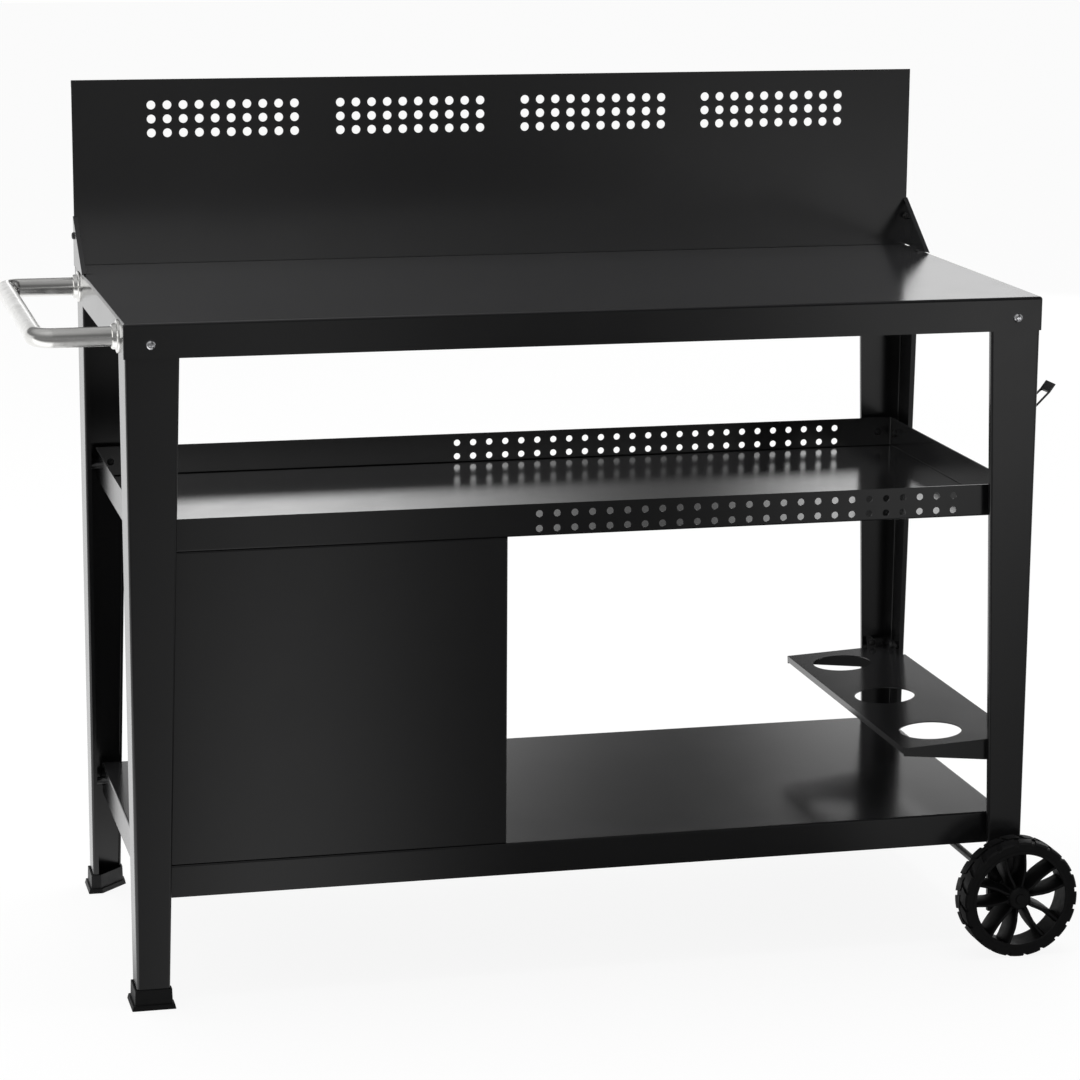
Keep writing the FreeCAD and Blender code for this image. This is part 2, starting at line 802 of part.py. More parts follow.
# A slice of a disc between two angles, a little larger than the wheel
def wedge_of_disc(start, direction, width, middle, half):
    reach = wheel_radius * 1.2
    points = [start]
    for angle in (middle - half, middle, middle + half):
        a = math.radians(angle)
        points.append(start + Vector(math.cos(a) * reach, 0, math.sin(a) * reach))
    return Part.Face(Part.makePolygon(points + [points[0]])).extrude(direction * width)


def rim(end):
    sy, edge_y, outer = wheel_faces(end)
    inward = Vector(0, -sy, 0)
    start = Vector(axle_x, outer, axle_z) + inward * rim_edge
    width = tyre_width - 2 * rim_edge
    band = cylinder(tyre_inner, start, inward, width)
    band = band.cut(cylinder(tyre_inner - rim_band, start - inward, inward, width + 2))
    hub_face = Vector(axle_x, outer, axle_z) + inward * hub_set_back
    hub_length = wheel_out - hub_set_back - bush_length - side_play + leg_inset
    hub = cylinder(hub_radius, hub_face, inward, hub_length)
    spokes = []
    spoke_start = start + inward * spoke_set_back
    for k in range(spoke_pairs):
        for side in (-1, 1):
            angle = spoke_first_angle + 72.0 * k + side * spoke_half_angle
            a = math.radians(angle)
            along = Vector(math.cos(a), 0, math.sin(a))
            across = Vector(-math.sin(a), 0, math.cos(a))
            near = spoke_start + along * (hub_radius - 3.0)
            far = spoke_start + along * (tyre_inner - rim_band + 0.8)
            narrow = across * (spoke_thick / 2)
            wide = across * (spoke_thick * 0.75)
            corners = [near - narrow, far - wide, far + wide, near + narrow]
            outline = Part.makePolygon(corners + [corners[0]])
            spokes.append(Part.Face(outline).extrude(inward * spoke_depth))
    shape = band.fuse([hub] + spokes).removeSplitter()
    bore = cylinder(axle_radius + bore_clearance, start - inward * 5, inward, width + 60)
    cap_seat = cylinder(cap_radius + 0.4, hub_face - inward, inward, cap_seat_depth + 1)
    return shape.cut([bore, cap_seat])


def axle():
    half = -front_y + wheel_out - hub_set_back - cap_seat_depth + side_play + axle_in_cap
    return cylinder(axle_radius, Vector(axle_x, -half, axle_z), to_back, 2 * half)


def axle_bushes():
    solids = []
    for end in ("front", "back"):
        sy, edge_y, outer = wheel_faces(end)
        face = edge_y - sy * leg_inset
        out = Vector(0, sy, 0)
        start = Vector(axle_x, face, axle_z)
        shape = cylinder(bush_radius, start, out, bush_length)
        bore = cylinder(axle_radius + thread_clearance, start - out, out, bush_length + 2)
        solids.append(shape.cut(bore))
    return group(solids)


def axle_caps():
    solids = []
    for end in ("front", "back"):
        sy, edge_y, outer = wheel_faces(end)
        out = Vector(0, sy, 0)
        seat_y = outer - sy * (hub_set_back + cap_seat_depth - side_play)
        start = Vector(axle_x, seat_y, axle_z)
        length = cap_seat_depth - side_play + cap_proud
        shape = cylinder(cap_radius, start, out, length)
        top_y = (start + out * length).y
        end_edge = [e for e in shape.Edges if e.Curve.TypeId == "Part::GeomCircle"
                    and abs(e.Curve.Center.y - top_y) < 0.01]
        shape = shape.makeFillet(1.0, end_edge)
        pocket = cylinder(axle_radius + cap_clearance, start - out, out, 1.0 + axle_in_cap)
        solids.append(shape.cut(pocket))
    return group(solids)


# A screw whose head sits on a surface at "seat" and whose shank runs along "into"
def screw(seat, into, length, head_radius, head_height):
    head = cylinder(head_radius, seat, into * -1, head_height)
    top = seat - into * head_height
    top_edge = [e for e in head.Edges if e.Curve.TypeId == "Part::GeomCircle"
                and (e.Curve.Center - top).Length < 0.01]
    head = head.makeFillet(min(head_height - 0.3, head_radius - 2.0), top_edge)
    shank = cylinder(screw_radius, seat - into * 0.5, into, length + 0.5)
    shape = head.fuse(shank).removeSplitter()
    side = up if abs(into.z) < 0.5 else to_right
    other = into.cross(side)
    slot_long = head_radius * 0.5
    slot_half = 0.6
    depth = 1.6
    for u, v in ((side, other), (other, side)):
        p = top - into * 0.5
        corners = [p + u * slot_long + v * slot_half, p - u * slot_long + v * slot_half,
                   p - u * slot_long - v * slot_half, p + u * slot_long - v * slot_half]
        outline = Part.makePolygon(corners + [corners[0]])
        shape = shape.cut(Part.Face(outline).extrude(into * (depth + 0.5)))
    return shape


def domed_screw(seat, into, length):
    return screw(seat, into, length, dome_head_radius, dome_head_height)


def pan_screw(seat, into, length):
    return screw(seat, into, length, pan_head_radius, pan_head_height)


def nut(seat, away, height):
    shape = hexagon_prism(seat, away, nut_across, height)
    return shape.cut(cylinder(screw_radius + thread_clearance, seat - away, away, height + 2))


def worktop_screws():
    solids = []
    for x, z in apron_screw_spots():
        solids.append(domed_screw(Vector(x, front_y, z), to_back, front_screw_length))
        solids.append(domed_screw(Vector(x, back_y + sheet, z), to_front, back_screw_length))
    for x, z in guard_middle_spots():
        solids.append(domed_screw(Vector(x, back_y + sheet, z), to_front, middle_screw_length))
    return group(solids)


def worktop_nuts():
    solids = []
    inner = leg_inset + leg_sheet
    for x, z in apron_screw_spots():
        solids.append(nut(Vector(x, front_y + inner, z), to_back, nut_height))
        solids.append(nut(Vector(x, back_y - inner, z), to_front, nut_height))
    for x, z in guard_middle_spots():
        solids.append(nut(Vector(x, back_y - sheet, z), to_front, nut_height))
    return group(solids)


def gusset_screws():
    solids = []
    y, z = gusset_screw_spot()
    for face_x, sx in ((left_x, 1), (right_x, -1)):
        seat = Vector(face_x - sx * sheet, y, z)
        solids.append(pan_screw(seat, Vector(sx, 0, 0), small_screw_length))
    for x, y in gusset_foot_spots():
        flush = 2 * sheet + gusset_foot_gap
        solids.append(pan_screw(Vector(x, y, top_height - sheet), up, flush))
    return group(solids)


def gusset_nuts():
    y, z = gusset_screw_spot()
    left_nut = nut(Vector(left_x + sheet, y, z), to_right, nut_height)
    right_nut = nut(Vector(right_x - sheet, y, z), to_left, nut_height)
    return group([left_nut, right_nut])


def flange_screws(spots):
    solids = []
    for place, inward, face in spots:
        seat = face + inward * sheet
        solids.append(pan_screw(seat, inward * -1, sheet + short_screw_length))
    return group(solids)


# Threaded posts that stand on the inside of a leg and carry a flange
def posts(spots):
    solids = []
    for place, inward, face in spots:
        length = (face - place).Length
        shape = cylinder(post_radius, place, inward, length)
        depth = length - 0.5
        shape = shape.cut(cylinder(screw_radius + thread_clearance, face + inward, inward * -1, depth + 1))
        solids.append(shape)
    return group(solids)


def panel_screws():
    solids = []
    for x, y in panel_screw_spots():
        tray_floor = tray_top_z - tray_depth + sheet
        solids.append(pan_screw(Vector(x, y, tray_floor), down, small_screw_length))
        solids.append(pan_screw(Vector(x, y, shelf_top_z + sheet), down, small_screw_length))
    return group(solids)


def panel_nuts():
    solids = []
    for x, y in panel_screw_spots():
        solids.append(nut(Vector(x, y, tray_top_z - tray_depth - sheet), down, nut_height))
        solids.append(nut(Vector(x, y, shelf_top_z - sheet), down, nut_height))
    return group(solids)


def opener_screws():
    solids = []
    face = right_x - leg_inset + opener_sheet
    for y, z in opener_screw_spots():
        solids.append(pan_screw(Vector(face, y, z), to_left, small_screw_length))
    return group(solids)


def opener_nuts():
    solids = []
    face = right_x - leg_inset - leg_sheet
    for y, z in opener_screw_spots():
        solids.append(nut(Vector(face, y, z), to_left, nut_height))
    return group(solids)


save("worktop", worktop())
save("splash_guard", splash_guard())
save("gusset_left", gusset("left"))
save("gusset_right", gusset("right"))
save("leg_front_left", leg("left", "front"))
save("leg_back_left", leg("left", "back"))
save("leg_front_right", leg("right", "front"))
save("leg_back_right", leg("right", "back"))
save("middle_tray", middle_tray())
save("bottom_shelf", bottom_shelf())
save("cover_panel", cover_panel())
save("bottle_holder", bottle_holder())
save("bottle_opener", bottle_opener())
save("handle_tube", handle_tube())
save("handle_rosettes", handle_rosettes())
save("handle_plugs", handle_plugs())
save("handle_bolts", handle_bolts())
save("foot_front_left", foot("left", "front"))
save("foot_back_left", foot("left", "back"))
save("axle", axle())
save("axle_bushes", axle_bushes())
save("axle_caps", axle_caps())
save("front_rim", rim("front"))
save("front_tyre", tyre("front"))
save("rear_rim", rim("back"))
save("rear_tyre", tyre("back"))
save("worktop_screws", worktop_screws())
save("worktop_nuts", worktop_nuts())
save("gusset_screws", gusset_screws())
save("gusset_nuts", gusset_nuts())
save("tray_posts", posts(tray_spots()))
save("tray_screws", flange_screws(tray_spots()))
save("shelf_posts", posts(shelf_spots()))
save("shelf_screws", flange_screws(shelf_spots()))
save("holder_posts", posts(holder_spots()))
save("holder_screws", flange_screws(holder_spots()))
save("panel_screws", panel_screws())
save("panel_nuts", panel_nuts())
save("opener_screws", opener_screws())
save("opener_nuts", opener_nuts())
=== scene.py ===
import math

import bpy
from mathutils import Matrix, Vector


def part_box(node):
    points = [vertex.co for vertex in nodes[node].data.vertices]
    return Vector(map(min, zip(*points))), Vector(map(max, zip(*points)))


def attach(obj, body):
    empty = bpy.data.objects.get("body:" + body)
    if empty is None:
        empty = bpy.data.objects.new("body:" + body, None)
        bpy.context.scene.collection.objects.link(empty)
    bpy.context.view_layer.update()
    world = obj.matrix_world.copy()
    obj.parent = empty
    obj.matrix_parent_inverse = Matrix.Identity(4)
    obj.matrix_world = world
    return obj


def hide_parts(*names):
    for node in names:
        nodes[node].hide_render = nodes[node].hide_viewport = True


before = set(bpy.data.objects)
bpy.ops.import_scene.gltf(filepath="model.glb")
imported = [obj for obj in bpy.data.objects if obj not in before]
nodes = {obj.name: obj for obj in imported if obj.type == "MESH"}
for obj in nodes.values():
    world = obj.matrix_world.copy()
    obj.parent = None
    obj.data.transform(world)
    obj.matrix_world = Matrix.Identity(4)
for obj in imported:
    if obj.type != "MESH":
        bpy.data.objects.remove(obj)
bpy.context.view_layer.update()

bl_info = {
    "name": "Grill cart",
    "version": (1, 0, 0),
    "blender": (4, 5, 0),
    "location": "3D View > Sidebar > Cart",
    "description": "Dresses a sheet metal grill cart: finishes, handle, wheels and studio",
    "category": "Object",
}

MM = 0.001
CLOSE = 0.01 * MM  # points nearer than this count as one


# Small tools


def srgb(code):
    """The linear colour of an sRGB hex code such as #1a1a1a."""
    channels = [int(code[i:i + 2], 16) / 255 for i in (1, 3, 5)]
    linear = [c / 12.92 if c <= 0.04045 else ((c + 0.055) / 1.055) ** 2.4 for c in channels]
    return (*linear, 1.0)


def scaled(colour, times):
    """The colour with its red, green and blue multiplied."""
    return [c * times for c in colour[:3]] + [1.0]


def deselect_all():
    if bpy.context.object and bpy.context.object.mode != "OBJECT":
        bpy.ops.object.mode_set(mode="OBJECT")
    bpy.ops.object.select_all(action="DESELECT")


def activate(piece):
    deselect_all()
    piece.select_set(True)
    bpy.context.view_layer.objects.active = piece


def new_piece(name):
    """Names the primitive that was just added and returns it."""
    piece = bpy.context.object
    piece.name = name
    piece.data.name = name
    return piece


def edit(piece, kind="FACE"):
    activate(piece)
    bpy.ops.object.mode_set(mode="EDIT")
    bpy.ops.mesh.select_mode(type=kind)


def choose_faces(piece, test):
    """Selects in edit mode the faces whose centre passes the test."""
    bpy.ops.object.mode_set(mode="OBJECT")
    mesh = piece.data
    for vertex in mesh.vertices:
        vertex.select = False
    for edge in mesh.edges:
        edge.select = False
    for face in mesh.polygons:
        face.select = test(face)
    bpy.ops.object.mode_set(mode="EDIT")
    bpy.ops.mesh.select_mode(type="FACE")


def choose_edges(piece, test):
    """Selects in edit mode the edges whose two ends pass the test together."""
    bpy.ops.object.mode_set(mode="OBJECT")
    mesh = piece.data
    for face in mesh.polygons:
        face.select = False
    for vertex in mesh.vertices:
        vertex.select = False
    for edge in mesh.edges:
        edge.select = test(*(mesh.vertices[i].co for i in edge.vertices))
    bpy.ops.object.mode_set(mode="EDIT")
    bpy.ops.mesh.select_mode(type="EDGE")


def apply_modifier(piece, kind, **settings):
    activate(piece)
    modifier = piece.modifiers.new(kind.title(), kind)
    for name, value in settings.items():
        setattr(modifier, name, value)
    bpy.ops.object.modifier_apply(modifier=modifier.name)


def settle(piece):
    """Puts the piece's place, turn and size into its mesh."""
    activate(piece)
    bpy.ops.object.transform_apply(location=True, rotation=True, scale=True)


def outward(piece):
    """Merges doubles and turns every face outward."""
    edit(piece)
    bpy.ops.mesh.select_all(action="SELECT")
    bpy.ops.mesh.remove_doubles(threshold=CLOSE)
    bpy.ops.mesh.normals_make_consistent(inside=False)
    bpy.ops.object.mode_set(mode="OBJECT")


def smooth(piece, degrees=35.0):
    activate(piece)
    bpy.ops.object.shade_smooth_by_angle(angle=math.radians(degrees))


def copy_piece(piece, name, matrix):
    """A copy with its own mesh, moved by a matrix in the mesh."""
    twin = piece.copy()
    twin.data = piece.data.copy()
    twin.name = name
    twin.data.name = name
    bpy.context.scene.collection.objects.link(twin)
    twin.data.transform(matrix)
    return twin


def join(pieces, name):
    activate(pieces[0])
    for piece in pieces:
        piece.select_set(True)
    bpy.ops.object.join()
    return new_piece(name)


def wear(piece, material):
    piece.data.materials.clear()
    piece.data.materials.append(material)


def hand_over(piece, body, slot, material, *replaced):
    """Gives a finished piece its finish, its body and the parts it stands for."""
    wear(piece, material)
    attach(piece, body)
    if replaced:
        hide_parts(*replaced)


# Materials


def add_node(tree, kind, inputs=None, **settings):
    """Adds a node, sets it, and fills its sockets with values or links."""
    node = tree.nodes.new(kind)
    for name, value in settings.items():
        setattr(node, name, value)
    for socket, value in (inputs or {}).items():
        if isinstance(value, bpy.types.NodeSocket):
            tree.links.new(value, node.inputs[socket])
        else:
            node.inputs[socket].default_value = value
    return node


def start_material(name, **sockets):
    """A material with a Principled shader on its output."""
    material = bpy.data.materials.new(name)
    material.use_nodes = True
    tree = material.node_tree
    tree.nodes.clear()
    values = {socket.replace("_", " "): value for socket, value in sockets.items()}
    shader = add_node(tree, "ShaderNodeBsdfPrincipled", values)
    add_node(tree, "ShaderNodeOutputMaterial", {"Surface": shader.outputs["BSDF"]})
    return material, tree, shader


def noise(tree, size, detail=2.0):
    """Noise whose grains are about size metres across."""
    place = add_node(tree, "ShaderNodeTexCoord").outputs["Object"]
    grain = {"Vector": place, "Scale": 1.0 / size, "Detail": detail}
    return add_node(tree, "ShaderNodeTexNoise", grain).outputs["Fac"]


def maths(tree, operation, first, second=0.0, third=0.0):
    """The result of a Math node."""
    values = {0: first, 1: second, 2: third}
    return add_node(tree, "ShaderNodeMath", values, operation=operation).outputs["Value"]


def line(tree, value, start, end, low, high, kind="LINEAR"):
    """Goes from low to high in a straight line while the value goes from start to end."""
    span = {"Value": value, "From Min": start, "From Max": end, "To Min": low, "To Max": high}
    return add_node(tree, "ShaderNodeMapRange", span, interpolation_type=kind).outputs["Result"]


def ramp(tree, value, start, end, low, high):
    """Eases from low to high while the value goes from start to end."""
    return line(tree, value, start, end, low, high, "SMOOTHSTEP")


def spread(tree, value, low, high):
    """A noise value, which mostly lies between 0.3 and 0.7, brought into a range."""
    return line(tree, value, 0.3, 0.7, low, high)


def blend(tree, share, first, second, kind="FLOAT"):
    """Goes from the first value to the second while the share goes from 0 to 1."""
    values = {"Factor": share, "A": first, "B": second}
    return add_node(tree, "ShaderNodeMix", values, data_type=kind).outputs["Result"]


def colour_between(tree, shader, share, first, second):
    """Gives the shader a colour between two, by a noise value."""
    tree.links.new(blend(tree, share, first, second, "RGBA"), shader.inputs["Base Color"])


def bumps(tree, shader, height, depth, strength):
    """Gives the shader's surface bumps from a noise value, of a depth in metres."""
    values = {"Height": height, "Distance": depth, "Strength": strength}
    bump = add_node(tree, "ShaderNodeBump", values)
    tree.links.new(bump.outputs["Normal"], shader.inputs["Normal"])


def powder_coat(settings):
    """Polyester powder coat, baked on steel: near black, satin, with a slight orange peel."""
    material, tree, shader = start_material("satin_black_powder_coat", IOR=settings.coat_ior)
    # The film's thickness varies a little over a hand's width, which the eye reads as soft clouds
    clouds = noise(tree, 90 * MM, 3.0)
    dark = settings.coat_colour
    colour_between(tree, shader, clouds, dark, scaled(dark, 1.25))
    # Faces that lay flat in the oven are glossier, because the molten powder levels out on them
    normal = add_node(tree, "ShaderNodeTexCoord").outputs["Normal"]
    facing = add_node(tree, "ShaderNodeSeparateXYZ", {"Vector": normal})
    lying = maths(tree, "ABSOLUTE", facing.outputs["Z"])
    levelled = ramp(tree, lying, 0.5, 0.95, 0.0, settings.coat_levelling)
    middle = settings.coat_roughness
    roughness = spread(tree, noise(tree, 60 * MM), middle - 0.008, middle + 0.008)
    tree.links.new(maths(tree, "SUBTRACT", roughness, levelled), shader.inputs["Roughness"])
    # Real orange peel is about 1 mm wide. It is drawn 2.2 mm wide so that it shows as a faint grain
    bumps(tree, shader, noise(tree, 2.2 * MM), 0.02 * MM, 0.12)
    return material


def polished_stainless(settings):
    """Stainless tube, ground and then buffed: bright, with a faint grain left by the buffing."""
    material, tree, shader = start_material("polished_stainless_steel", Metallic=1.0)
    marks = noise(tree, 1.2 * MM, 3.0)
    colour_between(tree, shader, marks, settings.steel_colour, srgb("#e4e3e0"))
    tree.links.new(spread(tree, noise(tree, 14 * MM, 4.0), 0.16, 0.26), shader.inputs["Roughness"])
    bumps(tree, shader, marks, 0.01 * MM, 0.25)
    return material


def zinc_plate():
    """Bright zinc on steel screws and nuts: grey metal with a soft, uneven shine."""
    material, tree, shader = start_material("zinc_plated_steel", Metallic=1.0)
    stain = noise(tree, 3.0 * MM, 3.0)
    colour_between(tree, shader, stain, srgb("#a9abad"), srgb("#d0d2d3"))
    tree.links.new(spread(tree, noise(tree, 1.5 * MM), 0.22, 0.38), shader.inputs["Roughness"])
    return material


def electropolished():
    """Domed stainless screws, electropolished: a clear mirror with faint tool marks."""
    material, tree, shader = start_material("electropolished_stainless_steel", Metallic=1.0)
    marks = noise(tree, 1.5 * MM, 3.0)
    colour_between(tree, shader, marks, srgb("#b9b9bc"), srgb("#d2d2d4"))
    tree.links.new(spread(tree, marks, 0.08, 0.14), shader.inputs["Roughness"])
    return material


def black_oxide():
    """Blackened steel of the axle and most screws: a dark oxide film with an uneven, weak sheen."""
    material, tree, shader = start_material("black_oxide_steel", Specular_IOR_Level=0.12)
    film = noise(tree, 6.0 * MM, 3.0)
    colour_between(tree, shader, film, srgb("#131314"), srgb("#222120"))
    tree.links.new(spread(tree, film, 0.4, 0.52), shader.inputs["Roughness"])
    return material


def moulded_plastic(settings):
    """Injection moulded polypropylene of wheels and feet: black, dull, with a fine eroded grain."""
    material, tree, shader = start_material(
        "moulded_polypropylene", IOR=1.49, Specular_IOR_Level=0.3)
    flow = noise(tree, 18 * MM, 3.0)
    dark = settings.plastic_colour
    colour_between(tree, shader, flow, dark, scaled(dark, 1.3))
    tree.links.new(spread(tree, noise(tree, 8 * MM), 0.46, 0.58), shader.inputs["Roughness"])
    # Eroded mould grain is under 0.3 mm wide. It is drawn 0.9 mm wide so that it breaks the shine
    bumps(tree, shader, noise(tree, 0.9 * MM, 1.0), 0.03 * MM, 0.6)
    return material


def hard_tread(settings):
    """Hard moulded tread: as the wheel's plastic, duller where it meets the ground."""
    material, tree, shader = start_material(
        "hard_moulded_tread", IOR=1.49, Specular_IOR_Level=0.3)
    dust = noise(tree, 12 * MM, 4.0)
    dark = settings.plastic_colour
    colour_between(tree, shader, dust, dark, scaled(dark, 1.6))
    tree.links.new(spread(tree, dust, 0.52, 0.68), shader.inputs["Roughness"])
    bumps(tree, shader, noise(tree, 1.2 * MM), 0.04 * MM, 0.6)
    return material


def finish_of(name, maker, *arguments):
    """The material of that name, made once."""
    return bpy.data.materials.get(name) or maker(*arguments)


def coat():
    return finish_of("satin_black_powder_coat", powder_coat, bpy.context.scene.cart_finish)


def stainless():
    return finish_of("polished_stainless_steel", polished_stainless, bpy.context.scene.cart_finish)


def plastic():
    return finish_of("moulded_polypropylene", moulded_plastic, bpy.context.scene.cart_finish)


def tread():
    return finish_of("hard_moulded_tread", hard_tread, bpy.context.scene.cart_finish)


# Settings that a user would change


class CartFinish(bpy.types.PropertyGroup):
    coat_colour: bpy.props.FloatVectorProperty(
        name="Coat colour", description="Colour of the powder coat", subtype="COLOR",
        size=4, min=0.0, max=1.0, default=srgb("#242425"))
    coat_roughness: bpy.props.FloatProperty(
        name="Coat roughness", description="How dull the powder coat is", subtype="FACTOR",
        min=0.0, max=1.0, default=0.2)
    coat_levelling: bpy.props.FloatProperty(
        name="Levelling", description="How much glossier the coat is where it lies flat",
        subtype="FACTOR", min=0.0, max=0.5, default=0.03)
    coat_ior: bpy.props.FloatProperty(
        name="Coat IOR", description="Refractive index of the powder coat",
        min=1.0, max=2.0, default=1.5)
    plastic_colour: bpy.props.FloatVectorProperty(
        name="Plastic colour", description="Colour of wheels and feet", subtype="COLOR",
        size=4, min=0.0, max=1.0, default=srgb("#0e0e0f"))
    steel_colour: bpy.props.FloatVectorProperty(
        name="Steel colour", description="Colour of the handle's steel", subtype="COLOR",
        size=4, min=0.0, max=1.0, default=srgb("#cfcfce"))


class CartHandle(bpy.types.PropertyGroup):
    corner_radius: bpy.props.FloatProperty(
        name="Corner radius", description="Radius of the tube's bends on its centre line",
        unit="LENGTH", subtype="DISTANCE", default=21 * MM)
    wall: bpy.props.FloatProperty(
        name="Tube wall", description="Thickness of the tube's wall",
        unit="LENGTH", subtype="DISTANCE", default=1.5 * MM)


class CartWheel(bpy.types.PropertyGroup):
    lugs: bpy.props.IntProperty(
        name="Lugs", description="Lugs in each row of the tread", min=8, max=40, default=20)
    lug_height: bpy.props.FloatProperty(
        name="Lug height", description="How far a lug stands proud of the tread",
        unit="LENGTH", subtype="DISTANCE", default=2.6 * MM)
    spoke_pairs: bpy.props.IntProperty(
        name="Spoke pairs", description="Pairs of spokes between hub and rim",
        min=3, max=8, default=5)
    spoke_depth: bpy.props.FloatProperty(
        name="Spoke depth", description="Depth of a spoke along the axle",
        unit="LENGTH", subtype="DISTANCE", default=35.5 * MM)


class CartStudio(bpy.types.PropertyGroup):
    paper: bpy.props.FloatVectorProperty(
        name="Paper colour", description="Colour of the floor", subtype="COLOR",
        size=4, min=0.0, max=1.0, default=srgb("#f4f4f4"))
    lens: bpy.props.FloatProperty(
        name="Lens", description="Focal length of the camera, in millimetres",
        min=20.0, max=300.0, default=115.1)


# Pieces

COATED = ("worktop", "splash_guard", "gusset_left", "gusset_right", "leg_front_left",
          "leg_back_left", "leg_front_right", "leg_back_right", "middle_tray", "bottom_shelf",
          "cover_panel", "bottle_holder", "bottle_opener", "tray_posts", "shelf_posts",
          "holder_posts")
ZINC = ("worktop_nuts", "panel_screws", "panel_nuts", "opener_screws", "opener_nuts",
        "handle_plugs", "handle_bolts")
BLACKENED = ("gusset_screws", "gusset_nuts", "tray_screws", "shelf_screws", "holder_screws", "axle")
MOULDED = ("foot_front_left", "foot_back_left", "axle_bushes", "axle_caps", "front_rim", "rear_rim")
TREADED = ("front_tyre", "rear_tyre")
POLISHED = ("handle_tube", "handle_rosettes")
DOMED = ("worktop_screws",)


class CART_OT_plain_parts(bpy.types.Operator):
    """Gives every carried-over part its finish"""
    bl_idname = "cart.plain_parts"
    bl_label = "Finish the plain parts"

    def execute(self, context):
        finishes = (
            (COATED, coat()),
            (ZINC, finish_of("zinc_plated_steel", zinc_plate)),
            (BLACKENED, finish_of("black_oxide_steel", black_oxide)),
            (MOULDED, plastic()),
            (TREADED, tread()),
            (POLISHED, stainless()),
            (DOMED, finish_of("electropolished_stainless_steel", electropolished)),
        )
        for names, material in finishes:
            for name in names:
                wear(nodes[name], material)
        return {"FINISHED"}


WHITE = (1.0, 1.0, 1.0, 1.0)

# Where the camera stood, in metres and degrees, from the lines of the photographed cart
CAMERA_PLACE = (-1.071, -4.4465, 1.538)
CAMERA_PITCH = 12.41
CAMERA_YAW = 13.78
CAMERA_ROLL = 0.39


def add_camera(lens):
    yaw = Matrix.Rotation(math.radians(-CAMERA_YAW), 3, "Z")
    pitch = Matrix.Rotation(math.radians(90 - CAMERA_PITCH), 3, "X")
    roll = Matrix.Rotation(math.radians(CAMERA_ROLL), 3, "Z")
    bpy.ops.object.camera_add(location=CAMERA_PLACE, rotation=(yaw @ pitch @ roll).to_euler())
    camera = bpy.context.object
    camera.name = "camera"
    camera.data.lens = lens
    camera.data.sensor_width = 36.0
    bpy.context.scene.camera = camera


def add_softbox(name, place, target, width, height, brightness):
    """A soft lamp of an even brightness, turned to a target. The eye doesn't see it."""
    bpy.ops.object.light_add(type="AREA", location=place)
    lamp = bpy.context.object
    lamp.name = name
    lamp.data.shape = "RECTANGLE"
    lamp.data.size = width
    lamp.data.size_y = height
    # So many watts make the lamp as bright as a glowing surface of that strength
    lamp.data.energy = brightness * math.pi * width * height
    lamp.visible_camera = False
    lamp.visible_glossy = False
    lamp.rotation_euler = (Vector(target) - Vector(place)).to_track_quat("-Z", "Y").to_euler()


def seen_or_mirrored(tree):
    """Two switches: 1 for the eye's own rays, and 1 for rays off glossy and clear things."""
    path = add_node(tree, "ShaderNodeLightPath")
    glossy, clear = path.outputs["Is Glossy Ray"], path.outputs["Is Transmission Ray"]
    return path.outputs["Is Camera Ray"], maths(tree, "MAXIMUM", glossy, clear)


def painted_reflection_room(tree, axes):
    """What glossy things mirror: a bright wall behind, with a dark gap in it, and a dim front.

    Its wall, gap and front are painted reflections, which only glossy and clear rays see. East,
    north and up are the parts of a ray's direction. For the photograph's eye the faces that lie
    flat mirror
    the wall at these heights: the worktop at 0.14, the tray at 0.17 to 0.2, the bottle holder at
    0.23 to 0.26 and the bottom shelf at 0.25 to 0.28.
    """
    east, north, up = (axes.outputs[name] for name in "XYZ")
    # The painted dark gap is narrow up to the holder, and widens where the shelf mirrors it
    wide = line(tree, up, 0.255, 0.3, 0.0, 1.0)
    middle = blend(tree, wide, 0.277, 0.315)
    left_edge = blend(tree, wide, -0.145, -0.36)
    right_edge = blend(tree, wide, 0.05, 0.6)
    off_middle = maths(tree, "SUBTRACT", east, middle)
    beside = maths(tree, "MAXIMUM", maths(tree, "DIVIDE", off_middle, left_edge),
                   maths(tree, "DIVIDE", off_middle, right_edge))
    gap = ramp(tree, beside, 0.05, 1.0, 0.08, 1.0)

    # Painted brightness of the wall: low down it is even, for the worktop. For the tray it is
    # bright in the east. From the holder up it is dim, and it brightens again towards the ceiling
    bright = maths(tree, "MULTIPLY", ramp(tree, east, 0.1, 0.14, 0.9, 2.75),
                   ramp(tree, east, 0.28, 0.33, 1.0, 0.68))
    dimmed = maths(tree, "MAXIMUM", ramp(tree, up, 0.24, 0.275, 1.0, 0.24),
                   ramp(tree, up, 0.45, 0.8, 0.24, 0.6))
    above = maths(tree, "MULTIPLY", bright, dimmed)
    wall = blend(tree, ramp(tree, up, 0.11, 0.19, 0.0, 1.0), 1.05, above)

    # In front the painted reflection is mostly the ceiling's shine, but what is mirrored a second
    # time sees all of it painted bright. The sky's Ray Depth is one more than the bounces made, so
    # 2 is the first mirror and 3 the second
    bounces = add_node(tree, "ShaderNodeLightPath").outputs["Ray Depth"]
    second = line(tree, bounces, 2.0, 3.0, 0.0, 1.0)
    front = maths(tree, "MAXIMUM", ramp(tree, up, 0.4, 1.0, 0.25, 0.7),
                  maths(tree, "MULTIPLY", second, 2.2))
    room = blend(tree, ramp(tree, north, -0.2, 0.2, 0.0, 1.0), front, wall)
    return maths(tree, "MULTIPLY", room, gap)


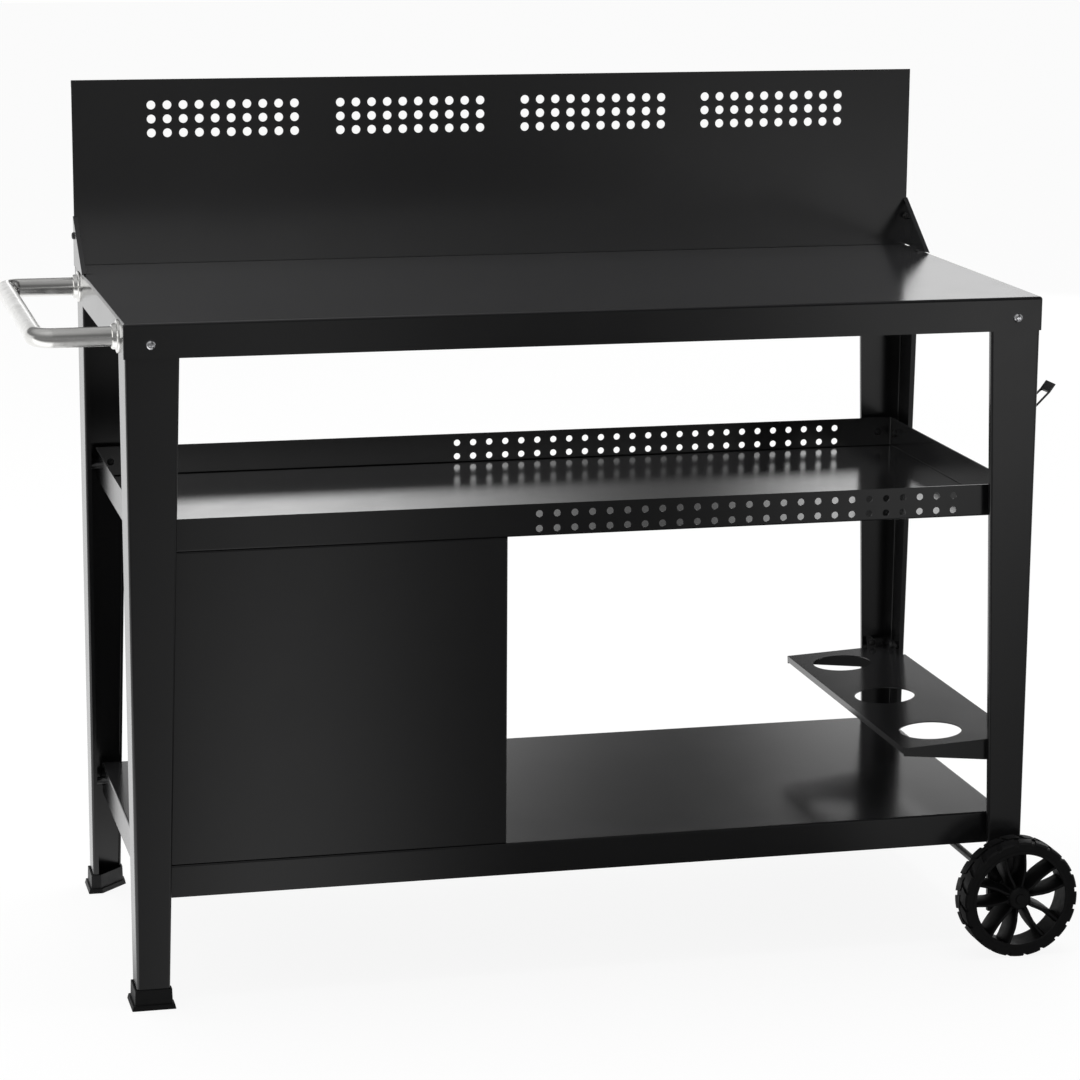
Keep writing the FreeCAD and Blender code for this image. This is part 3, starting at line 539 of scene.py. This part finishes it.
def dress_world():
    """White for the eye, soft light from above and behind, and a room for things to mirror."""
    world = bpy.data.worlds.new("studio")
    bpy.context.scene.world = world
    world.use_nodes = True
    tree = world.node_tree
    tree.nodes.clear()
    seen, mirrored = seen_or_mirrored(tree)
    place = add_node(tree, "ShaderNodeTexCoord")
    axes = add_node(tree, "ShaderNodeSeparateXYZ", {"Vector": place.outputs["Generated"]})
    soft = maths(tree, "ADD", line(tree, axes.outputs["Y"], -0.5, 1.0, 0.08, 0.6),
                 line(tree, axes.outputs["Z"], 0.0, 1.0, 0.0, 0.3))
    fill, room, white = (
        add_node(tree, "ShaderNodeBackground", {"Color": WHITE, "Strength": strength}).outputs[0]
        for strength in (soft, painted_reflection_room(tree, axes), 1.0))
    # Glossy and clear rays see the painted reflections, and the other unseen rays see the soft
    # light
    unseen = add_node(tree, "ShaderNodeMixShader", {0: mirrored, 1: fill, 2: room})
    whole = add_node(tree, "ShaderNodeMixShader", {0: seen, 1: unseen.outputs["Shader"], 2: white})
    add_node(tree, "ShaderNodeOutputWorld", {"Surface": whole.outputs["Shader"]})


def painted_front_pools(tree, east, north):
    """The floor in front as glossy things mirror it: two pools of light beside a dark lane."""
    # The pools and the lane are painted reflections: the floor glows with them only for glossy and
    # clear rays
    # How far right of the lane's middle a point lies, and then that as a share of each half's
    # width. Away from the cart the lane leads to the right, and its right half widens
    aside = maths(tree, "MULTIPLY_ADD", north, 0.175, maths(tree, "SUBTRACT", east, 0.25))
    left = maths(tree, "DIVIDE", aside, -0.65)
    left_pool = maths(tree, "SUBTRACT", ramp(tree, left, 0.45, 1.1, 0.0, 1.0),
                      ramp(tree, left, 1.05, 1.5, 0.0, 0.75))
    left_pool = maths(tree, "MULTIPLY", left_pool, line(tree, north, -6.0, -0.5, 0.6, 0.62))

    squared = maths(tree, "MULTIPLY", north, north)
    half = maths(tree, "MINIMUM", maths(tree, "MULTIPLY_ADD", squared, 0.037, 0.22), 1.35)
    right = maths(tree, "DIVIDE", aside, half)
    right_pool = maths(tree, "SUBTRACT", ramp(tree, right, 0.45, 1.05, 0.0, 1.0),
                       ramp(tree, right, 1.1, 2.0, 0.0, 0.5))
    right_pool = maths(tree, "MULTIPLY", right_pool, line(tree, north, -5.5, -0.5, 1.3, 0.2))
    right_pool = maths(tree, "MULTIPLY", right_pool, ramp(tree, north, -9.5, -6.0, 0.4, 1.0))

    # Far away both painted pools fade into an even, dim painted glow
    far = ramp(tree, north, -9.5, -7.0, 0.2, 0.0)
    pools = maths(tree, "MULTIPLY_ADD", maths(tree, "ADD", left_pool, right_pool),
                  maths(tree, "SUBTRACT", 1.0, far), far)
    # Left of the cart and close to it, a painted paler patch: a painted reflection that only the
    # handle mirrors
    painted_patch = maths(tree, "MULTIPLY", ramp(tree, east, -0.66, -0.56, 1.0, 0.0),
                  ramp(tree, north, -1.7, -0.6, 0.0, 1.5))
    return maths(tree, "MAXIMUM", pools, painted_patch)


def paper_floor(colour):
    """White paper on the floor, lit so that only the cart's shadow shows."""
    material = bpy.data.materials.new("white_paper")
    material.use_nodes = True
    tree = material.node_tree
    tree.nodes.clear()
    seen, mirrored = seen_or_mirrored(tree)
    place = add_node(tree, "ShaderNodeTexCoord").outputs["Object"]
    axes = add_node(tree, "ShaderNodeSeparateXYZ", {"Vector": place})
    east, north = axes.outputs["X"], axes.outputs["Y"]
    behind = ramp(tree, north, -0.3, 0.3, 0.0, 1.0)
    painted_floor_reflection = blend(tree, behind, painted_front_pools(tree, east, north), 1.1)
    # The paper keeps little of the lamps' light, and so of the shadow. Its own glow makes it white
    # for the eye, and for glossy and clear rays it glows with the painted reflections
    matt = add_node(tree, "ShaderNodeBsdfDiffuse", {"Color": scaled(colour, 0.15)})
    own = maths(tree, "MULTIPLY", seen, 0.9)
    glow = maths(tree, "MULTIPLY_ADD", mirrored, painted_floor_reflection, own)
    light = add_node(tree, "ShaderNodeEmission", {"Color": WHITE, "Strength": glow})
    both = {0: matt.outputs["BSDF"], 1: light.outputs["Emission"]}
    whole = add_node(tree, "ShaderNodeAddShader", both)
    add_node(tree, "ShaderNodeOutputMaterial", {"Surface": whole.outputs["Shader"]})
    return material


class CART_OT_stage(bpy.types.Operator):
    """Adds the floor, the soft lamps and the camera"""
    bl_idname = "cart.stage"
    bl_label = "Add the studio"

    # Each soft lamp: name, place, target, width, height and brightness
    lamps = (
        ("top_lamp", (0.0, 0.4, 3.6), (0.0, 0.3, 0.8), 3.0, 2.5, 2.6),
        ("back_right_lamp", (3.4, 5.0, 1.6), (0.3, 0.0, 0.8), 3.0, 2.8, 1.0),
        ("left_lamp", (-4.0, 1.5, 1.8), (-0.5, 0.0, 0.8), 3.0, 3.0, 1.0),
    )

    def execute(self, context):
        studio = context.scene.cart_studio
        deselect_all()
        bpy.ops.mesh.primitive_plane_add(size=40.0, location=(0, 0, 0))
        floor = new_piece("floor")
        wear(floor, paper_floor(studio.paper))
        dress_world()
        for lamp in self.lamps:
            add_softbox(*lamp)
        add_camera(studio.lens)
        context.scene.view_settings.view_transform = "Standard"
        return {"FINISHED"}


class CART_OT_handle(bpy.types.Operator):
    """Bends the push handle from one steel tube"""
    bl_idname = "cart.handle"
    bl_label = "Bend the push handle"

    # Faces round the tube, and along each bend
    sides = 48
    bend_steps = 14

    def execute(self, context):
        settings = context.scene.cart_handle
        low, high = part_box("handle_tube")
        radius = (high.z - low.z) / 2
        corner = settings.corner_radius
        height = (high.z + low.z) / 2
        near = low.y + radius
        far = high.y - radius
        out = low.x + radius
        deselect_all()
        bpy.ops.mesh.primitive_circle_add(
            vertices=self.sides, radius=radius, location=(high.x, near, height),
            rotation=(0, math.radians(90), 0))
        tube = new_piece("push_handle")
        settle(tube)
        edit(tube, "EDGE")
        bpy.ops.mesh.select_all(action="SELECT")
        self.run((out + corner - high.x, 0, 0))
        self.bend((out + corner, near + corner, height))
        self.run((0, far - near - 2 * corner, 0))
        self.bend((out + corner, far - corner, height))
        self.run((high.x - out - corner, 0, 0))
        outward(tube)
        apply_modifier(tube, "SOLIDIFY", thickness=settings.wall, offset=-1.0)
        smooth(tube)
        hand_over(tube, "cart", "polished_stainless", stainless(), "handle_tube")
        return {"FINISHED"}

    def run(self, way):
        bpy.ops.mesh.extrude_region_move(TRANSFORM_OT_translate={"value": way})

    def bend(self, centre):
        bpy.ops.mesh.spin(
            steps=self.bend_steps, angle=math.radians(90), center=centre, axis=(0, 0, 1))


def turned_ring(name, profile, steps=64, place=Matrix.Identity(4)):
    """A closed ring, turned from a profile of (distance along z, radius) points and then placed."""
    mesh = bpy.data.meshes.new(name)
    points = [(radius, 0.0, along) for along, radius in profile]
    edges = [(i, (i + 1) % len(points)) for i in range(len(points))]
    mesh.from_pydata(points, edges, [])
    piece = bpy.data.objects.new(name, mesh)
    bpy.context.scene.collection.objects.link(piece)
    edit(piece, "EDGE")
    bpy.ops.mesh.select_all(action="SELECT")
    bpy.ops.mesh.spin(steps=steps, angle=math.radians(360), center=(0, 0, 0), axis=(0, 0, 1))
    outward(piece)
    piece.data.transform(place)
    return piece


class CART_OT_rosettes(bpy.types.Operator):
    """Turns the two rosettes that hide the handle's bolts"""
    bl_idname = "cart.rosettes"
    bl_label = "Turn the rosettes"

    def execute(self, context):
        low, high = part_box("handle_rosettes")
        tube_low, tube_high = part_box("handle_tube")
        tube_radius = (tube_high.z - tube_low.z) / 2
        plate = (high.y - low.y - (tube_high.y - tube_low.y)) / 2 + tube_radius
        bore = tube_radius + 0.05 * MM
        length = high.x - low.x
        height = (tube_low.z + tube_high.z) / 2
        # A thin round plate against the apron, and on it a collar that tapers to the tube
        profile = [(0.0, bore), (0.0, plate), (1.6 * MM, plate), (2.5 * MM, plate - 0.4 * MM),
                   (3.0 * MM, plate - 1.4 * MM), (3.0 * MM, 18.0 * MM), (3.8 * MM, 16.9 * MM),
                   (5.0 * MM, 16.4 * MM), (length - 1.6 * MM, 16.0 * MM),
                   (length - 0.5 * MM, 15.4 * MM), (length, 14.4 * MM), (length, bore)]
        to_left = Matrix.Rotation(math.radians(-90), 4, "Y")
        pair = []
        for y in (low.y + plate, high.y - plate):
            place = Matrix.Translation((high.x, y, height)) @ to_left
            pair.append(turned_ring("rosette", profile, place=place))
        rosettes = join(pair, "handle_collars")
        outward(rosettes)
        smooth(rosettes, 30)
        hand_over(rosettes, "cart", "polished_stainless", stainless(), "handle_rosettes")
        return {"FINISHED"}


def lay_wheel(part, name, end):
    """A copy of a wheel part, moved onto the axle. The part's z runs inward from its outer face."""
    low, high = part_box(end + "_tyre")
    face, inward = (low.y, 1) if end == "front" else (high.y, -1)
    centre = ((low.x + high.x) / 2, face, (low.z + high.z) / 2)
    onto_axle = Matrix(((1, 0, 0, 0), (0, 0, inward, 0), (0, 1, 0, 0), (0, 0, 0, 1)))
    twin = copy_piece(part, name, Matrix.Translation(centre) @ onto_axle)
    outward(twin)
    return twin


class CART_OT_tyres(bpy.types.Operator):
    """Makes the two treaded tyres"""
    bl_idname = "cart.tyres"
    bl_label = "Make the tyres"

    # Segments of the first ring that a lug and its gap take, and that the gap takes
    segments = 8
    gap = 2
    # Where the loops round the tread lie across its width, and how far each is drawn in, in mm
    levels = (1.0, 3.2, 8.0, 13.0, 18.8, 23.2, 29.0, 34.0, 38.8, 41.0)
    drawn_in = (2.2, 0.3, 0.0, 0.0, 0.0, 0.0, 0.0, 0.0, 0.3, 2.2)
    # How far round the wheel a lug's outer end leads, in degrees
    slant = 5.0
    # From the top of the lugs to the rim, in mm
    thickness = 13.0

    def execute(self, context):
        settings = context.scene.cart_wheel
        low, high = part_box("front_tyre")
        outer = (high.z - low.z) / 2
        self.width = high.y - low.y
        self.inner = outer - self.thickness * MM
        self.base = outer - settings.lug_height
        tyre = self.tread_band(settings)
        self.side_walls(tyre)
        apply_modifier(tyre, "BEVEL", width=0.8 * MM, segments=2, limit_method="ANGLE",
                       angle_limit=math.radians(38))
        for end in ("front", "rear"):
            twin = lay_wheel(tyre, end + "_treaded_tyre", end)
            smooth(twin, 30)
            hand_over(twin, end + "_wheel", "black_tyre", tread(), end + "_tyre")
        bpy.data.objects.remove(tyre)
        return {"FINISHED"}

    def tread_band(self, settings):
        """A band round the wheel with two rows of slanted lugs drawn out of it."""
        around = settings.lugs * self.segments
        deselect_all()
        bpy.ops.mesh.primitive_cylinder_add(
            vertices=around, radius=self.base, depth=self.width, end_fill_type="NOTHING",
            location=(0, 0, self.width / 2))
        tyre = new_piece("tread")
        settle(tyre)
        edit(tyre, "EDGE")
        bpy.ops.mesh.select_all(action="SELECT")
        # This cuts the loops across the width, and each segment round the wheel into as many parts
        bpy.ops.mesh.subdivide(number_cuts=len(self.levels) - 2)
        bpy.ops.object.mode_set(mode="OBJECT")
        middle = self.width / 2
        for vertex in tyre.data.vertices:
            loop = round(vertex.co.z / self.width * (len(self.levels) - 1))
            level = self.levels[loop] * MM
            turn = Matrix.Rotation(math.radians(self.slant) * abs(level - middle) / middle, 3, "Z")
            turned = turn @ vertex.co
            crown = 1.0 - self.drawn_in[loop] * MM / self.base
            vertex.co = (turned.x * crown, turned.y * crown, level)
        choose_faces(tyre, self.is_lug)
        bpy.ops.mesh.extrude_region_shrink_fatten(
            TRANSFORM_OT_shrink_fatten={"value": settings.lug_height})
        bpy.ops.object.mode_set(mode="OBJECT")
        for vertex in tyre.data.vertices:
            vertex.co.z = min(max(vertex.co.z, 0.0), self.width)
        return tyre

    def is_lug(self, face):
        across = face.center.z - self.width / 2
        if abs(across) < 1.0 * MM:  # the groove between the two rows
            return False
        row = 0 if across < 0 else 1
        step = 2 * math.pi / bpy.context.scene.cart_wheel.lugs
        lean = math.radians(self.slant) * abs(across) / (self.width / 2)
        angle = math.atan2(face.center.y, face.center.x) - lean + row * step / 2
        return (angle / step) % 1.0 > self.gap / self.segments

    def side_walls(self, tyre):
        """Closes both sides, flat between the lugs' ends and the rim."""
        # The radius of each loop, and how far it is sunk into the side
        steps = ((self.base - 4.5 * MM, 0.0), (self.inner + 1.5 * MM, 0.0), (self.inner, 0.4 * MM))
        for side_z, way in ((self.levels[0] * MM, 1), (self.levels[-1] * MM, -1)):
            radius = self.base - self.drawn_in[0] * MM
            choose_edges(tyre, lambda *ends: all(
                abs(p.z - side_z) < CLOSE and p.xy.length < radius + CLOSE for p in ends))
            for wanted, drop in steps:
                bpy.ops.mesh.extrude_region_move(TRANSFORM_OT_translate={"value": (0, 0, 0)})
                shrink = wanted / radius
                bpy.ops.transform.resize(value=(shrink, shrink, 1), center_override=(0, 0, 0))
                bpy.ops.object.mode_set(mode="OBJECT")
                for vertex in tyre.data.vertices:
                    if vertex.select:
                        vertex.co.z = side_z + way * drop
                bpy.ops.object.mode_set(mode="EDIT")
                radius = wanted
        # Between the corners of the first ring the loops lie a little inside the bore's radius and
        # aren't chosen, so only a small part of the bore's wall, which the rim hides, is closed
        choose_edges(tyre, lambda *ends: all(abs(p.xy.length - self.inner) < CLOSE for p in ends))
        bpy.ops.mesh.bridge_edge_loops()
        outward(tyre)


class CART_OT_rims(bpy.types.Operator):
    """Makes the two spoked rims"""
    bl_idname = "cart.rims"
    bl_label = "Make the rims"

    # Points of a spoke, as (distance from the axle along its pair's middle line, offset from that
    # line, how far the front edge is sunk, how many times as thick), the first three in mm
    spoke_line = ((12.5, 3.6, 6.5, 1.2), (17.0, 4.8, 2.6, 1.1), (22.0, 6.1, 1.0, 1.0),
                  (30.0, 9.2, 0.3, 1.0), (38.5, 11.7, 0.0, 1.0), (48.5, 13.2, 0.0, 1.0),
                  (58.0, 14.0, 0.0, 1.0), (64.2, 14.4, 0.0, 1.2))
    # Rows of a spoke from its front edge inward, as (share of its depth, thickness in mm)
    spoke_rows = ((0.0, 3.2), (0.08, 3.6), (0.18, 6.8), (1.0, 8.8))
    # The wall that the rows are thinned from, in mm
    thickest = 10.6
    # Where the first pair stands, in degrees
    pair_angle = 27.5

    def execute(self, context):
        settings = context.scene.cart_wheel
        low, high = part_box("front_rim")
        tyre_low, tyre_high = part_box("front_tyre")
        outer = (high.z - low.z) / 2
        self.front = low.y - tyre_low.y
        width = tyre_high.y - tyre_low.y - 2 * self.front
        pieces = [self.band(outer, width), self.hub(high.y - tyre_low.y)]
        spoke = self.spoke(settings.spoke_depth)
        step = 360.0 / settings.spoke_pairs
        for pair in range(settings.spoke_pairs):
            turn = Matrix.Rotation(math.radians(self.pair_angle + pair * step), 4, "Z")
            for side in (1, -1):
                flip = Matrix.Scale(side, 4, (0, 1, 0))
                twin = copy_piece(spoke, "spoke", turn @ flip)
                if side < 0:
                    outward(twin)
                pieces.append(twin)
        bpy.data.objects.remove(spoke)
        rim = join(pieces, "rim")
        for end in ("front", "rear"):
            twin = lay_wheel(rim, end + "_spoked_rim", end)
            smooth(twin, 35)
            hand_over(twin, end + "_wheel", "black_plastic", plastic(), end + "_rim")
        bpy.data.objects.remove(rim)
        return {"FINISHED"}

    def band(self, outer, width):
        """The rim's band, with a small bead at its outer edge."""
        front = self.front
        wall = 3.0 * MM
        profile = [(front, outer), (front, outer - 3.4 * MM), (front + 0.8 * MM, outer - 4.2 * MM),
                   (front + 2.6 * MM, outer - 4.2 * MM), (front + 3.6 * MM, outer - wall),
                   (front + width, outer - wall), (front + width, outer)]
        return turned_ring("band", profile, 96)

    def hub(self, back):
        """The hub: a cone with a seat for the axle's cap at its tip."""
        bore = 5.05 * MM
        seat = 7.4 * MM
        face = 3.0 * MM
        seat_end = 10.0 * MM
        profile = [(face, seat), (face, 8.6 * MM), (face + 0.5 * MM, 10.0 * MM),
                   (face + 1.7 * MM, 13.0 * MM), (face + 3.6 * MM, 15.3 * MM),
                   (face + 8.0 * MM, 16.6 * MM), (back - 1.0 * MM, 17.0 * MM), (back, 16.0 * MM),
                   (back, bore), (seat_end, bore), (seat_end, seat)]
        return turned_ring("hub", profile)

    def spoke(self, depth):
        """One spoke: a deep web drawn along its line, thicker towards the back, its edges round."""
        points = [Vector((along, offset, 0)) * MM for along, offset, *rest in self.spoke_line]
        top = self.front + 1.5 * MM  # just inside the rim's band
        deselect_all()
        bpy.ops.mesh.primitive_plane_add(size=1.0)
        web = new_piece("spoke")
        corners = [(points[0], 0.0), (points[1], 0.0), (points[0], 1.0), (points[1], 1.0)]
        for vertex, (point, share) in zip(web.data.vertices, corners):
            vertex.co = (point.x, point.y, share)
        edit(web, "EDGE")
        choose_edges(web, lambda *ends: all(abs(p.x - points[1].x) < CLOSE for p in ends))
        for before, after in zip(points[1:], points[2:]):
            bpy.ops.mesh.extrude_region_move(TRANSFORM_OT_translate={"value": after - before})
        choose_edges(web, lambda a, b: abs(a.z - b.z) > 0.5)
        bpy.ops.mesh.subdivide(number_cuts=len(self.spoke_rows) - 2)
        bpy.ops.object.mode_set(mode="OBJECT")
        swell = web.vertex_groups.new(name="swell")
        for vertex in web.data.vertices:
            place = min(range(len(points)), key=lambda i: abs(points[i].x - vertex.co.x))
            share, thickness = self.spoke_rows[round(vertex.co.z * (len(self.spoke_rows) - 1))]
            sunk, wider = self.spoke_line[place][2:]
            vertex.co.z = top + share * depth + sunk * MM * (1.0 - share)
            swell.add([vertex.index], min(1.0, thickness * wider / self.thickest), "REPLACE")
        outward(web)
        apply_modifier(web, "SOLIDIFY", thickness=self.thickest * MM, offset=0.0,
                       vertex_group="swell")
        apply_modifier(web, "BEVEL", width=0.9 * MM, segments=3, limit_method="ANGLE",
                       angle_limit=math.radians(60))
        return web


class CART_PT_panel(bpy.types.Panel):
    """Lists the cart's settings and the steps that build it"""
    bl_label = "Grill cart"
    bl_idname = "CART_PT_panel"
    bl_space_type = "VIEW_3D"
    bl_region_type = "UI"
    bl_category = "Cart"

    def draw(self, context):
        layout = self.layout
        for group in (context.scene.cart_finish, context.scene.cart_handle,
                      context.scene.cart_wheel, context.scene.cart_studio):
            for name in group.__annotations__:
                layout.prop(group, name)
        for step in STEPS:
            layout.operator(step.bl_idname)


STEPS = (CART_OT_plain_parts, CART_OT_handle, CART_OT_rosettes, CART_OT_tyres, CART_OT_rims,
         CART_OT_stage)
GROUPS = {"cart_finish": CartFinish, "cart_handle": CartHandle, "cart_wheel": CartWheel,
          "cart_studio": CartStudio}


def register():
    for group in GROUPS.values():
        bpy.utils.register_class(group)
    for step in (*STEPS, CART_PT_panel):
        bpy.utils.register_class(step)
    for name, group in GROUPS.items():
        setattr(bpy.types.Scene, name, bpy.props.PointerProperty(type=group))


def unregister():
    for name in GROUPS:
        delattr(bpy.types.Scene, name)
    for step in (CART_PT_panel, *reversed(STEPS)):
        bpy.utils.unregister_class(step)
    for group in reversed(tuple(GROUPS.values())):
        bpy.utils.unregister_class(group)


def main():
    register()
    bpy.ops.cart.plain_parts()
    bpy.ops.cart.handle()
    bpy.ops.cart.rosettes()
    bpy.ops.cart.tyres()
    bpy.ops.cart.rims()
    bpy.ops.cart.stage()


if __name__ == "__main__":
    main()
